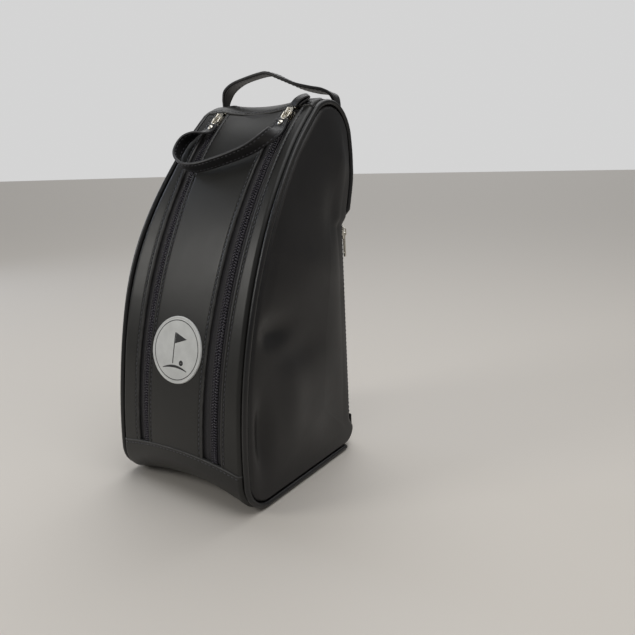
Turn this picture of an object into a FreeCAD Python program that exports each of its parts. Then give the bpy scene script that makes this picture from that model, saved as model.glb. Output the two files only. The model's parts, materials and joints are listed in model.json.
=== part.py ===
import FreeCAD, Part
import math
import os

# Shoe bag for golf shoes. Millimetres and degrees.
# X is across the bag, Y runs from its sloping front to its back, and Z is up.
# The origin is on the floor, in the middle of the base.

os.makedirs("parts", exist_ok=True)
V = FreeCAD.Vector

# Body
BASE_WIDTH = 160.0          # across the piping at the floor
SIDE_TILT = 2.0             # each side leans in by this much
DEPTH = 178.0               # front to back at the base
FRONT_RADIUS = 426.0        # the long arc of the front, seen from the side
FRONT_CENTRE_Z = 33.5       # height of that arc's centre
TOE_RADIUS = 29.0           # front bottom corner
HEEL_RADIUS = 22.0          # back bottom corner
CROWN_RADIUS = 31.0         # top back corner
LEATHER = 2.4               # outer leather with its backing
LINING = 0.8
GAP = 0.3                   # kept between neighbouring pieces
PIPING = 5.0                # diameter
PIPING_INSET = 2.8          # its centre line, in from the outline
SIDE_INSET = 5.6            # edge of the side panel, in from the outline
GUSSET_MARGIN = 5.3         # edge of the front, base and back, in from the side plane

# Front zips
ZIP_X = 42.0                # centre line of each chain
CHAIN_WIDTH = 5.8
CENTER_PANEL_HALF = 37.5
STRIP_EDGE = 48.5
TAPE_HALF = 8.0
BASE_SEAM = 38.0            # height of the band of the base at the front
BACK_SEAM = 30.0            # and at the back
RIDGE_ANGLE = 45.9          # where the front ends, as an angle on the front arc
HEM_ANGLE = 47.6            # back edge of the hem on the ridge
CHAIN_START = 1.5           # bottom end of the chain, the same way
CHAIN_END = 43.3
SLIDER_ANGLE = 44.4         # middle of the closed slider

# Zip sliders
SLIDER_LENGTH = 13.0
SLIDER_WIDTH = 8.6
PLATE = 1.1
ARCH_WIRE = 1.3             # wire of the arch that holds the pull
ARCH_HEIGHT = 3.8
PULL_HEIGHT = LEATHER + 2.2 # middle of the pull under the arch, over the tape

# Back zip, on the cut-off corner between the right side and the back
CORNER_CUT = 15.0
BACK_ZIP_LOW = 33.0
BACK_ZIP_HIGH = 232.0
BACK_SLIDER_Z = 222.0

# Pocket behind the right side panel
POCKET_DEPTH = 10.0

# Badge
BADGE_RADIUS = 29.5
BADGE_ANGLE = 13.4
BADGE_X = -4.0

# Straps
STRAP_WIDTH = 12.5
STRAP_THICKNESS = 2.4
HANDLE_WIDTH = 20.0
HANDLE_THICKNESS = 3.2
HANDLE_NECK = 7.0           # where it bends at its sewn ends
HANDLE_Y = 66.0             # middle of the handle, front to back
HANDLE_PIVOT_Z = 352.0

BACK_Y = DEPTH / 2
FRONT_CENTRE_Y = FRONT_RADIUS - DEPTH / 2
FAR = 700.0                 # longer than anything here


def on_front(angle, radius):
    """A point at this angle above level, seen from the centre of the front arc."""
    turn = math.radians(angle)
    return V(0, FRONT_CENTRE_Y - radius * math.cos(turn), FRONT_CENTRE_Z + radius * math.sin(turn))


def corner_centre(radius, y=None, z=None):
    """Centre of a corner arc that touches the front arc from inside, with y or z given."""
    reach = FRONT_RADIUS - radius
    if z is None:
        z = FRONT_CENTRE_Z + math.sqrt(reach ** 2 - (FRONT_CENTRE_Y - y) ** 2)
    else:
        y = FRONT_CENTRE_Y - math.sqrt(reach ** 2 - (FRONT_CENTRE_Z - z) ** 2)
    return V(0, y, z)


TOE = corner_centre(TOE_RADIUS, z=TOE_RADIUS)
CROWN = corner_centre(CROWN_RADIUS, y=BACK_Y - CROWN_RADIUS)
HEEL = V(0, BACK_Y - HEEL_RADIUS, HEEL_RADIUS)


def angle_of(point):
    """Angle of a point above level, seen from the centre of the front arc."""
    return math.degrees(math.atan2(point.z - FRONT_CENTRE_Z, FRONT_CENTRE_Y - point.y))


def around(centre, radius, degrees):
    """A point on a circle in the plane X = 0, with 0 towards +Y and 90 upwards."""
    turn = math.radians(degrees)
    return V(0, centre.y + radius * math.cos(turn), centre.z + radius * math.sin(turn))


def arc(centre, radius, start, stop):
    middle = around(centre, radius, (start + stop) / 2)
    return Part.Arc(around(centre, radius, start), middle, around(centre, radius, stop)).toShape()


def line(start, stop):
    return Part.LineSegment(start, stop).toShape()


def outline_edges(inset):
    """The bag's side profile moved inwards, from the bottom of the back round the crown and front."""
    heel = HEEL_RADIUS - inset
    crown = CROWN_RADIUS - inset
    front = FRONT_RADIUS - inset
    toe = TOE_RADIUS - inset
    centre = V(0, FRONT_CENTRE_Y, FRONT_CENTRE_Z)
    crown_turn = 180 - angle_of(CROWN)
    toe_turn = 180 - angle_of(TOE)
    return [
        line(around(HEEL, heel, 0), around(CROWN, crown, 0)),
        arc(CROWN, crown, 0, crown_turn),
        arc(centre, front, crown_turn, toe_turn),
        arc(TOE, toe, toe_turn, 270),
        line(around(TOE, toe, 270), around(HEEL, heel, -90)),
        arc(HEEL, heel, -90, 0),
    ]


def profile(inset, low=-FAR / 2, high=FAR / 2):
    """The whole side profile as a solid between two X values."""
    face = Part.Face(Part.Wire(outline_edges(inset)))
    face.translate(V(low, 0, 0))
    return face.extrude(V(high - low, 0, 0))


def shell(outer, inner):
    """A sheet that follows the profile, between two depths below the surface."""
    return profile(outer, -FAR / 4, FAR / 4).cut(profile(inner))


def block(x0, x1, y0, y1, z0, z1):
    return Part.makeBox(x1 - x0, y1 - y0, z1 - z0, V(x0, y0, z0))


def between_sides(margin):
    """The space between the two leaning side planes, less a margin."""
    lean = math.tan(math.radians(SIDE_TILT))
    half = [BASE_WIDTH / 2 - margin - lean * z for z in (-50, 450)]
    corners = [V(-half[0], -FAR, -50), V(half[0], -FAR, -50), V(half[1], -FAR, 450), V(-half[1], -FAR, 450)]
    face = Part.Face(Part.makePolygon(corners + corners[:1]))
    return face.extrude(V(0, 2 * FAR, 0))


def sector(low, high):
    """The space near the front, up to the ridge, between two angles seen from the front arc's centre."""
    rays = [on_front(turn, FAR) for turn in (low, (low + high) / 2, high)]
    centre = on_front(0, 0)
    face = Part.Face(Part.makePolygon([centre] + rays + [centre]))
    face.translate(V(-FAR / 2, 0, 0))
    wedge = face.extrude(V(FAR, 0, 0))
    wedge = wedge.cut(Part.makeCylinder(FRONT_RADIUS - 60, FAR, centre - V(FAR / 2, 0, 0), V(1, 0, 0)))
    return wedge.common(block(-FAR, FAR, -FAR, CROWN.y, -FAR, FAR))


def stripe(x0, x1):
    return block(x0, x1, -FAR, FAR, -FAR, FAR)


def mirrored(shape):
    return shape.mirror(V(0, 0, 0), V(1, 0, 0))


def on_side(shape, side):
    """Moves a piece drawn with the right side plane at X = 0 to the leaning side, 1 right, -1 left."""
    placed = shape.copy()
    placed.rotate(V(0, 0, 0), V(0, 1, 0), -SIDE_TILT)
    placed.translate(V(BASE_WIDTH / 2, 0, 0))
    return placed if side > 0 else mirrored(placed)


def on_surface(shape, angle, x, depth=0.0):
    """Moves a piece drawn flat, with Y up the slope and Z outwards, to a place on the front arc."""
    placed = shape.copy()
    placed.rotate(V(0, 0, 0), V(1, 0, 0), 90 - angle)
    placed.translate(on_front(angle, FRONT_RADIUS - depth) + V(x, 0, 0))
    return placed


def rounded_path(points):
    """Straight runs joined by tangent arcs, each as large as its two runs allow."""
    edges = []
    start = points[0]
    for before, corner, after in zip(points, points[1:], points[2:]):
        back = (before - corner).normalize()
        ahead = (after - corner).normalize()
        reach = 0.45 * min((before - corner).Length, (after - corner).Length)
        half = back.getAngle(ahead) / 2
        inward = (back + ahead).normalize()
        centre = corner + inward * (reach / math.cos(half))
        middle = centre - inward * (reach * math.tan(half))
        edges.append(line(start, corner + back * reach))
        edges.append(Part.Arc(corner + back * reach, middle, corner + ahead * reach).toShape())
        start = corner + ahead * reach
    edges.append(line(start, points[-1]))
    return Part.Wire(edges)


def ribbon(points, thickness, width_vector):
    """A flat strap standing on a path, with round ends."""
    face = rounded_path(points).makeOffset2D(thickness / 2, 0, True)
    return face.extrude(width_vector)


def round_uprights(shape, radius):
    """A flat piece with its upright edges rounded."""
    edges = [edge for edge in shape.Edges if abs(edge.tangentAt(edge.FirstParameter).z) > 0.9]
    return shape.makeFillet(radius, edges)


def save(name, shape):
    solids = shape.Solids
    if not solids or not all(solid.isValid() for solid in solids):
        raise ValueError("bad solid in " + name)
    result = solids[0] if len(solids) == 1 else Part.makeCompound(solids)
    result.exportStep("parts/" + name + ".step")
    print(name, len(solids), "solid, volume", round(result.Volume / 1000, 2), "cm3")


# Outer panels ---------------------------------------------------------------

INSIDE = between_sides(GUSSET_MARGIN)
OUTER_SKIN = shell(0, LEATHER).common(INSIDE)
FRONT_LOW = math.degrees(math.asin((BASE_SEAM + GAP - FRONT_CENTRE_Z) / FRONT_RADIUS))
FRONT_FIELD = sector(FRONT_LOW, RIDGE_ANGLE - 0.04)
BASE_FIELD = block(-FAR, FAR, -FAR, 0, -FAR, BASE_SEAM).fuse(block(-FAR, FAR, -1, FAR, -FAR, BACK_SEAM))
BACK_FIELD = block(-FAR, FAR, -FAR, FAR, BACK_SEAM + GAP, FAR).cut(sector(-20, HEM_ANGLE + 0.04))
ZIP_CORNER = on_side(block(-CORNER_CUT - 1.5, 20, -FAR, FAR, -FAR, BACK_ZIP_HIGH + 2), 1)


def base_panel():
    return OUTER_SKIN.common(BASE_FIELD)


def front_center_panel():
    return OUTER_SKIN.common(FRONT_FIELD).common(stripe(-CENTER_PANEL_HALF, CENTER_PANEL_HALF))


def front_strip(side):
    right = OUTER_SKIN.common(FRONT_FIELD).common(stripe(STRIP_EDGE, FAR))
    return right if side > 0 else mirrored(right)


def ridge_hem():
    return OUTER_SKIN.common(sector(RIDGE_ANGLE, HEM_ANGLE))


def back_panel():
    return OUTER_SKIN.common(BACK_FIELD).cut(ZIP_CORNER)


def side_plate(inset, near, far):
    """A plate in the side plane between two distances in from that plane."""
    return profile(inset, -far, -near)


def side_panel(side):
    plate = side_plate(SIDE_INSET, 1.0, 1.0 + LEATHER)
    if side > 0:
        plate = plate.cut(block(-FAR, FAR, BACK_Y - CORNER_CUT - 0.5, FAR, BACK_ZIP_LOW - 3, BACK_ZIP_HIGH + 2))
    return on_side(plate, side)


def piping(side):
    edges = outline_edges(PIPING_INSET)
    if side > 0:
        back_line, heel_arc = edges[0], edges[-1]
        top = back_line.Vertexes[-1].Point
        lower = V(0, top.y, BACK_ZIP_HIGH + 4)
        edges = [line(lower, top)] + edges[1:-1] + [heel_arc]
    path = Part.Wire(edges)
    start = path.OrderedVertexes[0].Point
    ring = Part.Wire(Part.Circle(start, V(0, 0, 1), PIPING / 2).toShape())
    tube = path.makePipeShell([ring], True, False)
    tube.translate(V(-PIPING / 2, 0, 0))
    return on_side(tube, side)


# Lining, board and pocket ----------------------------------------------------

def front_lining():
    sheet = shell(3.9, 3.9 + LINING).common(INSIDE)
    return sheet.common(FRONT_FIELD).common(stripe(-CENTER_PANEL_HALF + 5, CENTER_PANEL_HALF - 5))


def base_lining():
    return shell(5.3, 5.3 + LINING).common(INSIDE).common(BASE_FIELD)


def back_lining():
    return shell(3.9, 3.9 + LINING).common(between_sides(GUSSET_MARGIN + CORNER_CUT)).common(BACK_FIELD)


def side_lining(side):
    near = 1.0 + LEATHER + (POCKET_DEPTH if side > 0 else 0.5)
    plate = side_plate(8.0, near, near + LINING)
    if side > 0:
        plate = plate.cut(block(-FAR, FAR, BACK_Y - CORNER_CUT - 6, FAR, -FAR, FAR))
    return on_side(plate, side)


def base_board():
    board = block(-66, 66, TOE.y, HEEL.y, LEATHER + 0.4, LEATHER + 2.4)
    return round_uprights(board, 12)


# Front zips ------------------------------------------------------------------

def zip_tape(side):
    tape = shell(LEATHER + GAP, LEATHER + GAP + 0.8).common(sector(-0.4, RIDGE_ANGLE - 0.1))
    tape = tape.common(stripe(ZIP_X - TAPE_HALF, ZIP_X + TAPE_HALF + 2))
    notch = sector(SLIDER_ANGLE - 0.3, HEM_ANGLE).common(stripe(ZIP_X - 1.9, ZIP_X + 1.9))
    tape = tape.cut(notch)
    return tape if side > 0 else mirrored(tape)


def zip_chain(side):
    chain = shell(0.7, LEATHER + GAP - 0.1).common(sector(CHAIN_START, CHAIN_END))
    chain = chain.common(stripe(ZIP_X - CHAIN_WIDTH / 2, ZIP_X + CHAIN_WIDTH / 2))
    return chain if side > 0 else mirrored(chain)


def bottom_stops():
    clip = block(-3.2, 3.2, -2.0, 2.0, 0, 2.0)
    clip = clip.makeFillet(0.6, [edge for edge in clip.Edges if edge.BoundBox.ZMin > 1.9])
    right = on_surface(clip, CHAIN_START - 0.35, ZIP_X, LEATHER + 0.1)
    return Part.makeCompound([right, mirrored(right)])


def top_stops():
    clip = block(-0.8, 0.8, -1.1, 1.1, 0, 1.6)
    clip = clip.makeFillet(0.3, [edge for edge in clip.Edges if edge.BoundBox.ZMin > 1.5])
    angle = SLIDER_ANGLE + 1.2
    pair = [on_surface(clip, angle, ZIP_X + step, LEATHER + 0.1) for step in (-3.2, 3.2)]
    return Part.makeCompound(pair + [mirrored(one) for one in pair])


def slider_plate(length, width):
    """A slider plate with a narrow tail and a wide nose, seen from above."""
    half = width / 2
    nose = length / 2
    points = [V(-half * 0.78, -nose, 0), V(half * 0.78, -nose, 0), V(half, nose * 0.35, 0),
              V(half * 0.62, nose, 0), V(-half * 0.62, nose, 0), V(-half, nose * 0.35, 0)]
    plate = Part.Face(Part.makePolygon(points + points[:1])).extrude(V(0, 0, PLATE))
    return round_uprights(plate, 1.4)


def slider_body():
    """Slider drawn flat, with Z = 0 at the outside of the tape and the chain above it."""
    top_z = LEATHER + 0.1
    top = slider_plate(SLIDER_LENGTH, SLIDER_WIDTH)
    top.translate(V(0, 0, top_z))
    under = slider_plate(SLIDER_LENGTH * 0.92, SLIDER_WIDTH)
    under.translate(V(0, 0, -0.8 - 0.5 - PLATE))
    post = block(-1.3, 1.3, 0.5, 5.0, -0.8 - 0.5 - PLATE / 2, top_z + PLATE / 2)
    walls = [block(x - 0.45, x + 0.45, -3.0, 2.6, 0.35, top_z + PLATE / 2) for x in (-3.8, 3.8)]
    arch_top = top_z + ARCH_HEIGHT
    arch_path = rounded_path([V(0, -3.6, top_z), V(0, -3.6, arch_top), V(0, 3.6, arch_top), V(0, 3.6, top_z)])
    ring = Part.Wire(Part.Circle(V(0, -3.6, top_z), V(0, 0, 1), ARCH_WIRE / 2).toShape())
    arch = arch_path.makePipeShell([ring], True, False)
    body = top.fuse(under).fuse(post).fuse(walls[0]).fuse(walls[1]).fuse(arch)
    return body.removeSplitter()


def zip_slider(side):
    return on_surface(slider_body(), SLIDER_ANGLE, side * ZIP_X, LEATHER + GAP)


def pull_ring(side):
    """A rectangular wire loop through the slider's arch, lying down the slope."""
    wire = 1.4
    half = 3.6
    top, tail = 0.0, -9.0
    points = [V(0, top, 0), V(half, top, 0), V(half, tail, 0), V(-half, tail, 0), V(-half, top, 0), V(0, top, 0)]
    path = rounded_path(points)
    ring = Part.Wire(Part.Circle(points[0], V(1, 0, 0), wire / 2).toShape())
    loop = path.makePipeShell([ring], True, False)
    return on_surface(loop, SLIDER_ANGLE, side * ZIP_X, LEATHER + GAP - PULL_HEIGHT)


# Pull strap that joins the two sliders ---------------------------------------

STRAP_ANGLE = 40.0          # the strap lies in a plane that touches the front near here
STRAP_LIFT = 3.0
TAB_START = 10.6            # the strap's flat riveted end, measured down the slope from the slider
TAB_END = 23.0
RIVET_DOWN = 15.0


def slope_point(x, down):
    """A point of the strap's plane, a distance down the slope from the sliders."""
    up = math.radians(SLIDER_ANGLE - STRAP_ANGLE) * FRONT_RADIUS - down
    return V(x, up, 0)


def strap_end(side):
    """The flat end that folds round the ring and is held by the rivet."""
    half = STRAP_WIDTH / 2
    end = block(-half, half, -TAB_END, -TAB_START, LEATHER + 1.0, LEATHER + 1.0 + STRAP_THICKNESS)
    return on_surface(end, SLIDER_ANGLE, side * ZIP_X, LEATHER + GAP)


def pull_strap():
    route = [(42, 21), (37, 30), (22, 42), (0, 51), (-26, 59), (-48, 56), (-59, 45), (-57, 31), (-42, 21)]
    strap = ribbon([slope_point(x, down) for x, down in route], STRAP_THICKNESS, V(0, 0, STRAP_WIDTH))
    strap = on_surface(strap, STRAP_ANGLE, 0, -STRAP_LIFT)
    return strap.fuse(strap_end(-1)).fuse(strap_end(1)).removeSplitter()


def strap_rivets():
    """Domed heads on the two riveted ends."""
    head = Part.makeSphere(3.4, V(0, 0, -2.0)).common(block(-4, 4, -4, 4, 0, 4))
    head.translate(V(0, -RIVET_DOWN, LEATHER + 1.05 + STRAP_THICKNESS))
    return Part.makeCompound([on_surface(head, SLIDER_ANGLE, side * ZIP_X, LEATHER + GAP) for side in (-1, 1)])


# Handle ------------------------------------------------------------------------

def carry_handle():
    route = [(-61, 353), (-57, 359), (-42, 366), (-16, 371), (2, 370), (22, 364), (40, 360), (56, 358), (61, 353)]
    path = [V(x, HANDLE_Y - HANDLE_WIDTH / 2, z) for x, z in route]
    strap = ribbon(path, HANDLE_THICKNESS, V(0, HANDLE_WIDTH, 0))
    low = HANDLE_PIVOT_Z - 3
    neck = HANDLE_NECK / 2
    wide = HANDLE_WIDTH / 2
    rise = HANDLE_PIVOT_Z + 8
    trim = [(-neck, low), (neck, low), (wide, rise), (wide, rise + 20), (-wide, rise + 20), (-wide, rise)]
    corners = [V(0, HANDLE_Y + y, z) for y, z in trim]
    outline = Part.Face(Part.makePolygon(corners + corners[:1]))
    outline.translate(V(-FAR / 2, 0, 0))
    return strap.common(outline.extrude(V(FAR, 0, 0)))


def handle_tab(side):
    """The sewn end of the handle, standing on the top of the bag at the side seam."""
    half = HANDLE_THICKNESS / 2
    foot = CROWN.z + CROWN_RADIUS + GAP
    return block(side * 61 - half, side * 61 + half, HANDLE_Y - 8, HANDLE_Y + 8, foot, foot + 1.8)


# Back zip ----------------------------------------------------------------------

def on_corner(shape):
    """Moves a piece drawn with Z up and its outer side towards +Y to the cut-off right back corner."""
    placed = shape.copy()
    placed.rotate(V(0, 0, 0), V(0, 0, 1), -45)
    placed.translate(V(-CORNER_CUT / 2 - 0.6, BACK_Y - CORNER_CUT / 2 - 0.6, 0))
    return on_side(placed, 1)


def back_zip_tape():
    tape = block(-8.6, 8.6, -0.8, 0, BACK_ZIP_LOW, BACK_ZIP_HIGH)
    return on_corner(tape.cut(block(-1.9, 1.9, -5, 5, BACK_SLIDER_Z - 2, BACK_ZIP_HIGH + 1)))


def back_zip_chain():
    return on_corner(block(-CHAIN_WIDTH / 2, CHAIN_WIDTH / 2, 0.1, 1.9, BACK_ZIP_LOW + 6, BACK_SLIDER_Z - 7.5))


def back_zip_stops():
    low = block(-3.2, 3.2, 0.1, 2.0, BACK_ZIP_LOW + 2, BACK_ZIP_LOW + 5.5)
    high = [block(x - 0.8, x + 0.8, 0.1, 1.6, BACK_SLIDER_Z + 7.0, BACK_SLIDER_Z + 9.2) for x in (-3.0, 3.0)]
    return on_corner(Part.makeCompound([low] + high))


def upright(shape):
    """Turns a piece drawn flat, with Y up the zip and Z outwards, to stand with Z up and Y outwards."""
    placed = shape.copy()
    placed.rotate(V(0, 0, 0), V(1, 0, 0), 90)
    placed.rotate(V(0, 0, 0), V(0, 0, 1), 180)
    return placed


def back_zip_slider():
    body = upright(slider_body())
    body.translate(V(0, 0, BACK_SLIDER_Z))
    return on_corner(body)


def back_zip_pull():
    """A flat bar with a long slot, hanging from the slider's arch."""
    bar = round_uprights(block(-2.9, 2.9, -24.0, 0.6, -0.6, 0.6), 1.4)
    eye = round_uprights(block(-1.2, 1.2, -5.3, -0.6, -2, 2), 0.5)
    slot = round_uprights(block(-1.2, 1.2, -20.8, -7.4, -2, 2), 1.1)
    bar = bar.cut(eye).cut(slot)
    bar.translate(V(0, 0, PULL_HEIGHT))
    pull = upright(bar)
    pull.translate(V(0, 0, BACK_SLIDER_Z))
    return on_corner(pull)


# Badge ---------------------------------------------------------------------------

def badge():
    disc = Part.makeCylinder(BADGE_RADIUS, 60, V(0, 0, -30))
    return shell(-1.0, -0.1).common(on_surface(disc, BADGE_ANGLE, BADGE_X))


SIDES = {"left": -1, "right": 1}

save("base_panel", base_panel())
save("front_center_panel", front_center_panel())
save("ridge_hem", ridge_hem())
save("back_panel", back_panel())
save("front_lining", front_lining())
save("base_lining", base_lining())
save("back_lining", back_lining())
save("base_board", base_board())
save("zip_bottom_stops", bottom_stops())
save("zip_top_stops", top_stops())
save("pull_strap", pull_strap())
save("strap_rivets", strap_rivets())
save("carry_handle", carry_handle())
save("back_zip_tape", back_zip_tape())
save("back_zip_chain", back_zip_chain())
save("back_zip_stops", back_zip_stops())
save("back_zip_slider", back_zip_slider())
save("back_zip_pull", back_zip_pull())
save("badge", badge())
for word, side in SIDES.items():
    save("front_strip_" + word, front_strip(side))
    save("side_panel_" + word, side_panel(side))
    save("side_lining_" + word, side_lining(side))
    save("piping_" + word, piping(side))
    save("zip_tape_" + word, zip_tape(side))
    save("zip_chain_" + word, zip_chain(side))
    save("slider_" + word, zip_slider(side))
    save("pull_ring_" + word, pull_ring(side))
    save("handle_tab_" + word, handle_tab(side))
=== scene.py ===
# %% [markdown]
# A shoe bag for golf shoes: a tall bag with a sloping, rounded front, cut from smooth coated leather.
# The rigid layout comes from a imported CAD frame. This script dresses it: it replaces the plain panels with
# soft ones that have folded edges and stitches, adds the woven zip tapes and their nylon coils, and gives
# everything a material. Lengths are in millimetres while a piece is drawn and become metres in its mesh.

# %% Load the frame
import json
import math

import bpy
import numpy as np
from mathutils import Matrix, Vector


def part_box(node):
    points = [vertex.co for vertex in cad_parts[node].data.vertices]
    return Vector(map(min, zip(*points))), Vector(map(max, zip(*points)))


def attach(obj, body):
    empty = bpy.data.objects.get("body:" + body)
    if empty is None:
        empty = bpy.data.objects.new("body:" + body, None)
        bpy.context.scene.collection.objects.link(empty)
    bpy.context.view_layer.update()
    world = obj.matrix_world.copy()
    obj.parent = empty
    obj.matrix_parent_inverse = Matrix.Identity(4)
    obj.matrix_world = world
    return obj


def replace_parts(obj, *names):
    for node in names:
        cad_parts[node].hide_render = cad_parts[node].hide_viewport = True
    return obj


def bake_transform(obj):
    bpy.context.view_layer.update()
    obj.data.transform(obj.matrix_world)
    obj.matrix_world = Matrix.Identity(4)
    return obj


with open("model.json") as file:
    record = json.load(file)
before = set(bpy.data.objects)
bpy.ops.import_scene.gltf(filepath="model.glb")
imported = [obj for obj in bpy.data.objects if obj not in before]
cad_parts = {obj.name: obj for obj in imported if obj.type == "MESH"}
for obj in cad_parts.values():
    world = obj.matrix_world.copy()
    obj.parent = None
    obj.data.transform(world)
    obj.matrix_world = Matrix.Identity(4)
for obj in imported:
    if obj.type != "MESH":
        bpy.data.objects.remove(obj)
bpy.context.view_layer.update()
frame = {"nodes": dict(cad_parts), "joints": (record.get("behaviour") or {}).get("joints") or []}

MM = 0.001
JOINTS = {joint["name"]: joint for joint in frame["joints"]}

# %% [markdown]
# The side of the bag is drawn with a few arcs: a long front arc, a small round toe, heel and crown, and two
# straight lines. The front zips run along the front arc, so its centre is where the slider joints turn.
# One table of points along this outline, with the outward direction at each, is enough to lay anything on
# the bag: a place is an x across the bag, a distance s along the outline, and a height h off the leather.
# s is 0 where the front arc is level with its centre, grows up the front and over to the back, and is
# negative round the toe and under the base.

# %% The outline of the side
front_centre = Vector(JOINTS["front_zip_left"]["pos_m"]) / MM
back_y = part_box("back_panel")[1].y / MM
FRONT_RADIUS = front_centre.y + back_y
TOE_RADIUS = 29.0
HEEL_RADIUS = 22.0
CROWN_RADIUS = 31.0
SIDE_TILT = math.radians(2.0)
HALF_BASE = 80.0


def inner_centre(radius, y=None, z=None):
    """Centre of a corner arc that touches the front arc from inside."""
    reach = FRONT_RADIUS - radius
    if z is None:
        z = front_centre.z + math.sqrt(reach ** 2 - (front_centre.y - y) ** 2)
    else:
        y = front_centre.y - math.sqrt(reach ** 2 - (front_centre.z - z) ** 2)
    return (y, z)


toe = inner_centre(TOE_RADIUS, z=TOE_RADIUS)
crown = inner_centre(CROWN_RADIUS, y=back_y - CROWN_RADIUS)
heel = (back_y - HEEL_RADIUS, HEEL_RADIUS)
middle = (front_centre.y, front_centre.z)


def bearing(centre):
    return math.atan2(centre[1] - middle[1], middle[0] - centre[0])


def arc_points(centre, radius, start, stop, count):
    turn = np.linspace(start, stop, count)
    out = np.stack([np.cos(turn), np.sin(turn)], 1)
    return np.array(centre) + radius * out, out


def line_points(start, stop, out, count):
    share = np.linspace(0, 1, count)[:, None]
    points = np.array(start) * (1 - share) + np.array(stop) * share
    return points, np.tile(np.array(out, float), (count, 1))


crown_turn = math.pi - bearing(crown)
toe_turn = math.pi - bearing(toe)
spans = [
    line_points((heel[0], 0), (toe[0], 0), (0, -1), 80),
    arc_points(toe, TOE_RADIUS, 1.5 * math.pi, toe_turn, 80),
    arc_points(middle, FRONT_RADIUS, toe_turn, crown_turn, 400),
    arc_points(crown, CROWN_RADIUS, crown_turn, 0, 120),
    line_points((back_y, crown[1]), (back_y, heel[1]), (1, 0), 120),
    arc_points(heel, HEEL_RADIUS, 0, -0.5 * math.pi, 60),
]
outline = np.concatenate([points if i == 0 else points[1:] for i, (points, _) in enumerate(spans)])
outward = np.concatenate([out if i == 0 else out[1:] for i, (_, out) in enumerate(spans)])
length_along = np.concatenate([[0], np.cumsum(np.linalg.norm(np.diff(outline, axis=0), axis=1))])
level = length_along[np.argmin(np.abs(outline[:, 1] - middle[1]) + 1000 * (outline[:, 0] > 0))]
length_along -= level
S_TOE_FLAT = length_along[len(spans[0][0]) - 1]
CROWN_END = sum(len(points) - 1 for points, _ in spans[:4])
S_START, S_END = length_along[0], length_along[-1]
print("outline is", round(S_END - S_START), "mm round, front arc radius", round(FRONT_RADIUS))


def outline_at(s):
    """Place (y, z) and outward direction at distances s along the outline."""
    place = np.stack([np.interp(s, length_along, outline[:, k]) for k in (0, 1)], -1)
    out = np.stack([np.interp(s, length_along, outward[:, k]) for k in (0, 1)], -1)
    return place, out / np.linalg.norm(out, axis=-1, keepdims=True)


def front_s(degrees):
    """Distance along the outline of an angle on the front arc."""
    return math.radians(degrees) * FRONT_RADIUS


def back_s(z):
    """Distance along the outline of a height on the flat back."""
    return length_along[CROWN_END] + crown[1] - z


# %% [markdown]
# Real leather is never quite where the pattern puts it. Under its own stiffness the front of the base
# arches off the table between the two piped corners, the ridge sags a little between the two sliders, and
# the upper back and the left side swell where nothing holds them in.
# One function makes these moves on every panel, tape and piping, so layers on each other stay together.

# %% Soft shape
BASE_ARCH = 12.0
RIDGE_SAG = 4.5
CROWN_FLARE = 7.0
SIDE_SWELL = 6.5


def ease(value):
    """A smooth step from 0 to 1."""
    t = np.clip(value, 0, 1)
    return t * t * (3 - 2 * t)


def settle(points):
    """Moves points of the soft pieces as the leather settles."""
    x, y, z = points[..., 0], points[..., 1], points[..., 2]
    arch = np.clip(1 - (x / 70) ** 2, 0, 1) * np.exp(-((y + back_y) / 30) ** 2) * np.exp(-(z / 48) ** 2)
    sag = np.clip(1 - (x / 40) ** 2, 0, 1) * np.exp(-((y - 42) / 22) ** 2) * np.exp(-((z - 338) / 40) ** 2)
    by_zip = ease((x - 25) / 40)
    rise = (1 - by_zip) * ease((z - 110) / 170) + by_zip * ease((z - 226) / 56)
    flare = ease((y - 5) / 70) * rise * (1 - 0.4 * ease((z - 290) / 50))
    swell = ease((-x - 48) / 24) * np.exp(-((z - 215) / 85) ** 2)
    moved = points.copy()
    moved[..., 0] += 0.35 * CROWN_FLARE * flare * np.clip(x / 60, -1, 1) - SIDE_SWELL * swell
    moved[..., 1] += CROWN_FLARE * flare - 0.5 * SIDE_SWELL * swell
    moved[..., 2] += BASE_ARCH * arch - RIDGE_SAG * sag
    return moved


def on_gusset(x, s, h):
    """Points on the band that runs round the bag between its two sides."""
    x, s, h = np.broadcast_arrays(np.asarray(x, float), s, h)
    place, out = outline_at(s)
    points = np.stack([x, place[..., 0] + h * out[..., 0], place[..., 1] + h * out[..., 1]], -1)
    return settle(points)


def side_edge(s, margin):
    """x of the right edge of the band, a margin in from the leaning side plane."""
    place, _ = outline_at(s)
    return HALF_BASE - margin - math.tan(SIDE_TILT) * place[..., 1]


def on_side(side, out, y, z):
    """Points in the frame of a side panel: out is outwards from the leaning side plane."""
    x = out * math.cos(SIDE_TILT) - z * math.sin(SIDE_TILT) + HALF_BASE
    lifted = out * math.sin(SIDE_TILT) + z * math.cos(SIDE_TILT)
    return settle(np.stack([side * x, y + 0 * x, lifted], -1))


def rolled(distance, radius):
    """Height lost at a turned edge: 1 at the edge, 0 from one radius in."""
    t = np.clip(1 - distance / radius, 0, 1)
    return 1 - np.sqrt(np.clip(1 - t * t, 0, 1))


def groove(distance, at, width=0.55):
    """The line that a row of stitches presses into the leather."""
    return np.exp(-((distance - at) / width) ** 2)


# %% [markdown]
# Colours are written as sRGB hex values, as a paint chart gives them, and one function turns them to the
# linear values that the renderer mixes. A second small function adds a shader node, sets it and links it.

# %% Colour and node helpers
def linear(code):
    """Linear RGBA of an sRGB hex colour."""
    parts = [int(code[i:i + 2], 16) / 255 for i in (1, 3, 5)]
    return [c / 12.92 if c <= 0.04045 else ((c + 0.055) / 1.055) ** 2.4 for c in parts] + [1.0]


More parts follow.
